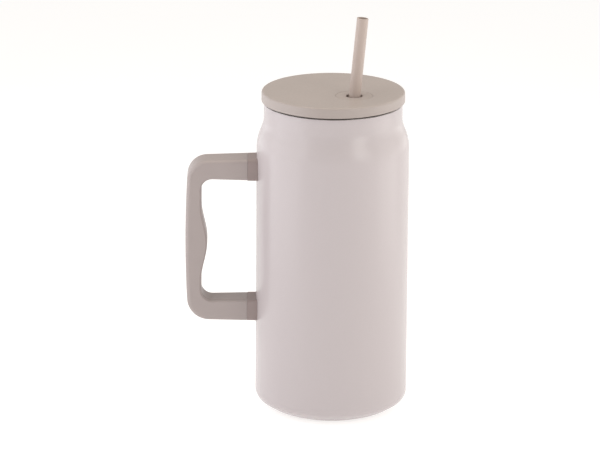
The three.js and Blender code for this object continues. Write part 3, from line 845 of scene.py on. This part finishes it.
def studio_floor():
    """A pale floor, just below the pad's underside, so that the two faces never coincide."""
    level = -0.05
    floor = loft("studio_floor", [circle(radius, level) for radius in (0, 3000, 7000)])
    surface = Surface("studio_floor", 0.9, specular=0.1)
    surface.colour(*shades((0.5, 0.5, 0.5), 0.005), surface.noise(3, 1))
    surface.shader.inputs["Emission Color"].default_value = (1, 0.98, 0.96, 1)
    surface.shader.inputs["Emission Strength"].default_value = 0.68
    floor.data.materials.append(surface.material)


def softbox(name, place, target, size, radiance, color):
    """A square-cornered light panel of a given radiance, facing a target, in metres."""
    light = bpy.data.lights.new(name, "AREA")
    light.shape = "RECTANGLE"
    light.size, light.size_y = size
    light.energy = radiance * math.pi * size[0] * size[1]
    light.color = color
    made = bpy.data.objects.new(name, light)
    bpy.context.collection.objects.link(made)
    made.location = place
    direction = Vector(target) - Vector(place)
    made.rotation_mode = "QUATERNION"
    made.rotation_quaternion = direction.to_track_quat("-Z", "Y")
    made.visible_camera = False


def around(azimuth, distance, height):
    """A place round the tumbler. Azimuth 0 is towards the camera and 90 is to the right."""
    angle = math.radians(azimuth)
    return (distance * math.sin(angle), -distance * math.cos(angle), height)


studio_floor()
MIDDLE = (0, 0, 0.12)
COOL = (0.955, 0.97, 1.0)
WARM = (1.0, 0.92, 0.75)
NEUTRAL = (1.0, 0.99, 0.95)
# The panels stand upright round the tumbler and face its axis.
for name, azimuth, distance, height, size, radiance, color in (
    ("left_panel", -77, 0.45, 0.3, (0.5, 0.6), 1.14, COOL),
    ("left_softbox", -88, 1.2, 0.65, (1.1, 0.9), 0.7, COOL),
    ("left_back_softbox", -130, 0.8, 0.5, (0.5, 0.9), 0.8, COOL),
    ("right_panel", 88, 0.45, 0.3, (0.3, 0.6), 1.15, NEUTRAL),
    ("right_strip", 62, 0.45, 0.3, (0.18, 0.6), 0.35, NEUTRAL),
    ("left_key", -47, 1.2, 0.65, (0.34, 0.95), 1.3, COOL),
    ("right_key", 43, 1.2, 0.65, (0.46, 0.95), 3.3, NEUTRAL),
    ("right_back_softbox", 130, 0.8, 0.5, (0.5, 0.9), 0.8, NEUTRAL),
):
    softbox(name, around(azimuth, distance, height), (0, 0, height), size, radiance, color)
softbox("back_softbox", (0, 0.7, 1.2), MIDDLE, (0.8, 0.8), 0.3, WARM)
softbox("top_softbox", (0, 0, 0.75), MIDDLE, (0.6, 0.6), 1.5, WARM)


def studio_world():
    """Even, dim light from all round."""
    made = bpy.data.worlds.new("studio")
    made.use_nodes = True
    background = made.node_tree.nodes["Background"]
    background.inputs["Color"].default_value = (1.0, 0.99, 0.98, 1)
    background.inputs["Strength"].default_value = 0.52
    bpy.context.scene.world = made


studio_world()
bpy.context.scene.view_settings.view_transform = "Standard"

# ------------------------------------------------------------------ the camera, in metres

CAMERA_TARGET = Vector((0, 0, 0.11))
CAMERA_DISTANCE = 3.5
CAMERA_ELEVATION = math.radians(16.2)
CAMERA_ROLL = math.radians(0.4)
CAMERA_SLIDE = (0.022086, -0.019016)  # how far it stands to the left and down
CAMERA_LENS = 303.6  # in millimetres


def make_camera():
    """A long lens that looks slightly down at the tumbler's front."""
    forward = Vector((0, math.cos(CAMERA_ELEVATION), -math.sin(CAMERA_ELEVATION)))
    level_right = Vector((1, 0, 0))
    level_up = Vector((0, math.sin(CAMERA_ELEVATION), math.cos(CAMERA_ELEVATION)))
    right = level_right * math.cos(CAMERA_ROLL) + level_up * math.sin(CAMERA_ROLL)
    up = level_up * math.cos(CAMERA_ROLL) - level_right * math.sin(CAMERA_ROLL)
    camera = bpy.data.objects.new("camera", bpy.data.cameras.new("camera"))
    bpy.context.collection.objects.link(camera)
    camera.data.lens = CAMERA_LENS
    camera.data.sensor_width = 36
    camera.data.clip_end = 50
    camera.rotation_mode = "QUATERNION"
    camera.rotation_quaternion = Matrix((right, up, -forward)).transposed().to_quaternion()
    camera.location = (
        CAMERA_TARGET
        - forward * CAMERA_DISTANCE
        - right * CAMERA_SLIDE[0]
        - up * CAMERA_SLIDE[1]
    )
    bpy.context.scene.camera = camera


make_camera()
